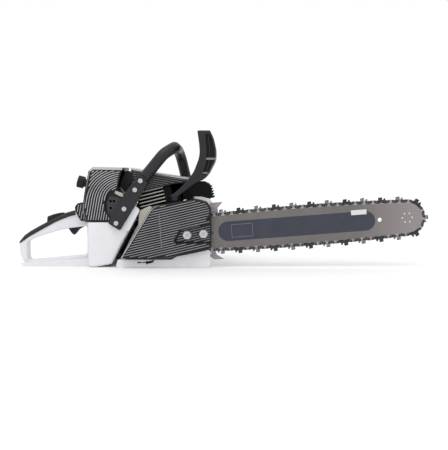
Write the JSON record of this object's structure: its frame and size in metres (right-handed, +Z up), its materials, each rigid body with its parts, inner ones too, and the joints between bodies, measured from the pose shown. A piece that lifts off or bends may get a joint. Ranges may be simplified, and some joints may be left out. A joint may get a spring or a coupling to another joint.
{
  "type": "chainsaw",
  "caption": "Petrol chainsaw with rear handle, wrap handlebar, hand guard, striped clutch and filter covers, guide bar and cutting chain.",
  "frame": {"origin": "middle of the engine base's resting face, below the crankshaft", "axes": "+X towards the bar tip, +Y towards the starter side, +Z up"},
  "size_m": [0.9039, 0.2225, 0.2965],
  "materials": {
    "white_casting": "satin",
    "white_plastic": "satin",
    "black_rubber": "matte",
    "black_plastic": "satin",
    "black_paint": "satin",
    "striped_cover": "gloss",
    "steel": "satin",
    "bar_steel": "satin",
    "chain_steel": "satin",
    "cutter_steel": "satin",
    "spike_steel": "satin",
    "aluminium": "cast",
    "filter_felt": "matte",
    "fuel_line": "matte",
    "ceramic": "gloss",
    "coil_resin": "satin",
    "button_plastic": "satin"
  },
  "bodies": {
    "chassis": {"adjuster_grommet": "black_rubber", "air_filter": "filter_felt", "av_mounts": "black_rubber", "bar_nuts": "steel", "bar_studs": "steel", "body_screws": "steel", "brake_band": "steel", "bumper_spikes": "spike_steel", "carb_box": "black_plastic", "carburettor": "aluminium", "chain_catcher": "black_plastic", "clutch_cover": "striped_cover", "crankcase_left": "white_casting", "crankcase_right": "white_casting", "cutters": "cutter_steel", "cylinder": "aluminium", "cylinder_shroud": "striped_cover", "decompression_valve": "steel", "drive_links": "chain_steel", "filter_cover": "striped_cover", "fuel_pickup": "fuel_line", "guide_bar": "bar_steel", "handle_grip": "black_rubber", "handlebar": "black_paint", "ignition_coil": "coil_resin", "ignition_lead": "fuel_line", "intake_boot": "black_rubber", "main_bearings": "steel", "muffler": "black_paint", "nose_sprocket": "bar_steel", "oil_pump": "aluminium", "pivot_pins": "steel", "plug_boot": "black_rubber", "rewind_spring": "steel", "spark_plug": "ceramic", "starter_housing": "black_plastic", "tank_housing": "white_plastic", "tensioner": "steel", "tie_straps": "chain_steel"},
    "trigger": {"throttle_trigger": "black_plastic"},
    "lockout": {"throttle_lockout": "black_plastic"},
    "control_rod": {"throttle_rod": "steel"},
    "butterfly": {"throttle_shaft": "steel"},
    "switch": {"stop_switch": "black_plastic"},
    "latch_knob": {"filter_knob": "black_plastic"},
    "fuel_filler_cap": {"fuel_cap": "black_plastic"},
    "oil_filler_cap": {"oil_cap": "black_plastic"},
    "crank": {"crankshaft": "steel", "flywheel": "aluminium", "clutch_shoes": "steel", "drum_bearing": "steel"},
    "drum": {"clutch_drum": "steel", "rim_sprocket": "steel"},
    "piston_unit": {"piston": "aluminium", "piston_rings_and_pin": "steel"},
    "rod_unit": {"connecting_rod": "steel"},
    "guard": {"hand_guard": "black_plastic"},
    "valve_button": {"decompression_button": "button_plastic"},
    "pulley": {"starter_pulley": "black_plastic"},
    "pull_grip": {"starter_grip": "black_plastic"}
  },
  "joints": [
    {"name": "trigger_pull", "type": "hinge", "parent": "chassis", "child": "trigger", "pos_m": [-0.186, 0, 0.093], "axis": [0, 1, 0], "range_deg": [0, 10], "stiffness_Nm_per_rad": 0.4, "springref_deg": -17.19},
    {"name": "control_rod_slide", "type": "slide", "parent": "chassis", "child": "control_rod", "axis": [1, 0, 0], "range_m": [0, 0.0055]},
    {"name": "butterfly_turn", "type": "hinge", "parent": "chassis", "child": "butterfly", "pos_m": [-0.118, 0, 0.134], "axis": [0, -1, 0], "range_deg": [0, 70.5]},
    {"name": "lockout_press", "type": "hinge", "parent": "chassis", "child": "lockout", "pos_m": [-0.229, 0, 0.108], "axis": [0, -1, 0], "range_deg": [0, 8], "stiffness_Nm_per_rad": 0.2, "springref_deg": -17.19},
    {"name": "stop_switch_turn", "type": "hinge", "parent": "chassis", "child": "switch", "pos_m": [-0.189, 0.0175, 0.114], "axis": [0, 1, 0], "range_deg": [-15, 15]},
    {"name": "filter_knob_turn", "type": "hinge", "parent": "chassis", "child": "latch_knob", "pos_m": [-0.173, 0, 0.181], "axis": [-0.9659, 0, 0.2588], "range_deg": [0, 90]},
    {"name": "fuel_cap_turn", "type": "hinge", "parent": "chassis", "child": "fuel_filler_cap", "pos_m": [-0.14, 0.075, 0.048], "axis": [0, 1, 0], "range_deg": [0, 90]},
    {"name": "oil_cap_turn", "type": "hinge", "parent": "chassis", "child": "oil_filler_cap", "pos_m": [0.08, 0.042, 0.046], "axis": [0, 1, 0], "range_deg": [0, 90]},
    {"name": "crank_spin", "type": "hinge", "parent": "chassis", "child": "crank", "pos_m": [-0.008, 0, 0.067], "axis": [0, 1, 0], "continuous": true},
    {"name": "drum_spin", "type": "hinge", "parent": "chassis", "child": "drum", "pos_m": [-0.008, -0.06, 0.067], "axis": [0, 1, 0], "continuous": true},
    {"name": "piston_slide", "type": "slide", "parent": "chassis", "child": "piston_unit", "axis": [0.2419, 0, -0.9703], "range_m": [0, 0.04]},
    {"name": "rod_swing", "type": "hinge", "parent": "piston_unit", "child": "rod_unit", "pos_m": [-0.03074, 0, 0.15821], "axis": [0, 1, 0], "range_deg": [-15.7, 15.7]},
    {"name": "guard_tilt", "type": "hinge", "parent": "chassis", "child": "guard", "pos_m": [0.028, 0, 0.151], "axis": [0, 1, 0], "range_deg": [0, 20]},
    {"name": "decompression_press", "type": "slide", "parent": "chassis", "child": "valve_button", "axis": [0.2419, 0, -0.9703], "range_m": [0, 0.003], "stiffness_N_per_m": 800, "springref_m": -0.002},
    {"name": "starter_pull", "type": "slide", "parent": "chassis", "child": "pull_grip", "axis": [0, 0, 1], "range_m": [0, 0.03], "stiffness_N_per_m": 60, "springref_m": -0.1},
    {"name": "pulley_turn", "type": "hinge", "parent": "chassis", "child": "pulley", "pos_m": [-0.008, 0.077, 0.067], "axis": [0, 1, 0], "range_deg": [0, 86.5]}
  ],
  "couplings": [
    {"joint": "control_rod_slide", "follows": "trigger_pull", "m_per_rad": 0.0315},
    {"joint": "butterfly_turn", "follows": "trigger_pull", "ratio": 7},
    {"joint": "pulley_turn", "follows": "starter_pull", "rad_per_m": 50}
  ]
}
